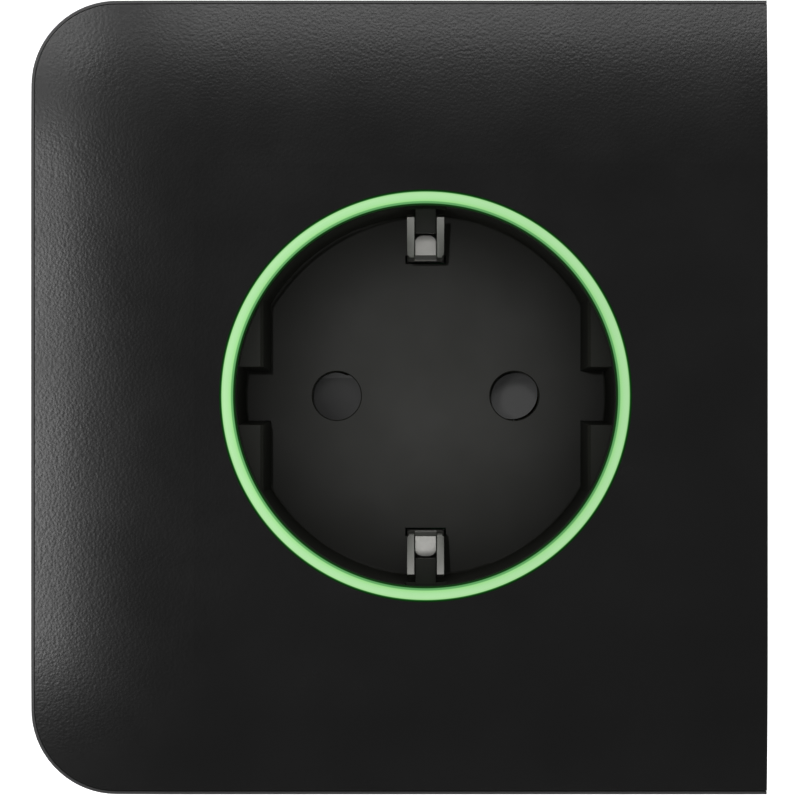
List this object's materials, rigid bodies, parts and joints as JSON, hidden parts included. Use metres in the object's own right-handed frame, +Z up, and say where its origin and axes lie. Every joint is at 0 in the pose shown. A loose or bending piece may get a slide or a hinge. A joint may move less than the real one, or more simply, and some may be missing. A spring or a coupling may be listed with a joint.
{
  "type": "flush-mounted socket outlet",
  "caption": "Flush-mounted mains socket outlet with a round recessed well, side earth clips, a lit ring and a built-in radio relay, as the rounded end unit of a multi-gang surround.",
  "frame": {"origin": "on the socket axis in the wall plane, at the back face of the support plate", "axes": "-Y out of the wall towards the user, +Z up, +X to the right as seen from the front"},
  "size_m": [0.0765, 0.0485, 0.0826],
  "materials": {
    "cover_black": "fine pebbled grain",
    "surround_black": "fine grain",
    "lit_guide": "translucent, lit green",
    "white_plastic": "moulded",
    "board_green": "solder mask",
    "lamp_white": "moulded lamp",
    "flex_amber": "polyimide film",
    "insert_black": "moulded, satin",
    "shutter_grey": "moulded",
    "spring_steel": "rolled",
    "clip_nickel": "nickel plated",
    "carrier_grey": "moulded",
    "contact_brass": "stamped",
    "zinc_steel": "zinc plated",
    "screw_steel": "zinc plated",
    "housing_grey": "moulded, fine spark texture",
    "relay_black": "moulded",
    "copper_winding": "enamelled wire",
    "iron": "soft iron",
    "ferrite": "sintered",
    "tape_yellow": "polyester tape",
    "can_sleeve": "shrink sleeve",
    "film_box": "moulded box",
    "varistor_blue": "epoxy dipped",
    "copper_nickel": "rolled",
    "shield_tin": "tin plated",
    "button_orange": "moulded"
  },
  "bodies": {
    "outlet": {"bulk_capacitors": "can_sleeve", "contact_carrier": "carrier_grey", "contact_carrier_lid": "carrier_grey", "contact_springs": "spring_steel", "cover_plate": "cover_black", "current_shunt": "copper_nickel", "earth_busbar": "contact_brass", "earth_clamp_spring": "spring_steel", "earth_clip_bottom": "clip_nickel", "earth_clip_top": "clip_nickel", "earth_strap": "clip_nickel", "film_capacitor": "film_box", "housing_screws": "screw_steel", "led_board": "board_green", "led_flex_cable": "flex_amber", "leds": "lamp_white", "light_reflector": "white_plastic", "light_ring": "lit_guide", "line_busbar": "contact_brass", "line_clamp_spring": "spring_steel", "line_contact": "contact_brass", "line_fuse": "relay_black", "neutral_busbar": "contact_brass", "neutral_clamp_spring": "spring_steel", "neutral_contact": "contact_brass", "power_board": "board_green", "radio_board": "board_green", "radio_shield": "shield_tin", "rear_housing": "housing_grey", "relay_base": "relay_black", "relay_case": "relay_black", "relay_coil": "copper_winding", "relay_fixed_contact": "contact_brass", "relay_yoke": "iron", "shutter_spring": "spring_steel", "socket_insert": "insert_black", "support_plate": "zinc_steel", "surround_frame": "surround_black", "terminal_block": "housing_grey", "transformer_bobbin": "relay_black", "transformer_core": "ferrite", "transformer_winding": "tape_yellow", "varistor": "varistor_blue"},
    "shutter": {"shutter_rotor": "shutter_grey"},
    "armature": {"relay_armature": "iron"},
    "line_button": {"line_release_button": "button_orange"},
    "earth_button": {"earth_release_button": "button_orange"},
    "neutral_button": {"neutral_release_button": "button_orange"}
  },
  "joints": [
    {"name": "shutter_turn", "type": "hinge", "parent": "outlet", "child": "shutter", "pos_m": [0, 0.009, 0], "axis": [0, 1, 0], "range_deg": [0, 38], "stiffness_Nm_per_rad": 0.004, "springref_deg": -17.19, "deforming": ["shutter_spring"]},
    {"name": "armature_rock", "type": "hinge", "parent": "outlet", "child": "armature", "pos_m": [-0.0049, 0.024, 0.0147], "axis": [0, 0, 1], "range_deg": [0, 4], "stiffness_Nm_per_rad": 0.01, "springref_deg": -5.73},
    {"name": "line_button_press", "type": "slide", "parent": "outlet", "child": "line_button", "axis": [0, -1, 0], "range_m": [0, 0.0013], "stiffness_N_per_m": 2000, "springref_m": -0.002, "deforming": ["line_clamp_spring"]},
    {"name": "earth_button_press", "type": "slide", "parent": "outlet", "child": "earth_button", "axis": [0, -1, 0], "range_m": [0, 0.0013], "stiffness_N_per_m": 2000, "springref_m": -0.002, "deforming": ["earth_clamp_spring"]},
    {"name": "neutral_button_press", "type": "slide", "parent": "outlet", "child": "neutral_button", "axis": [0, -1, 0], "range_m": [0, 0.0013], "stiffness_N_per_m": 2000, "springref_m": -0.002, "deforming": ["neutral_clamp_spring"]}
  ]
}
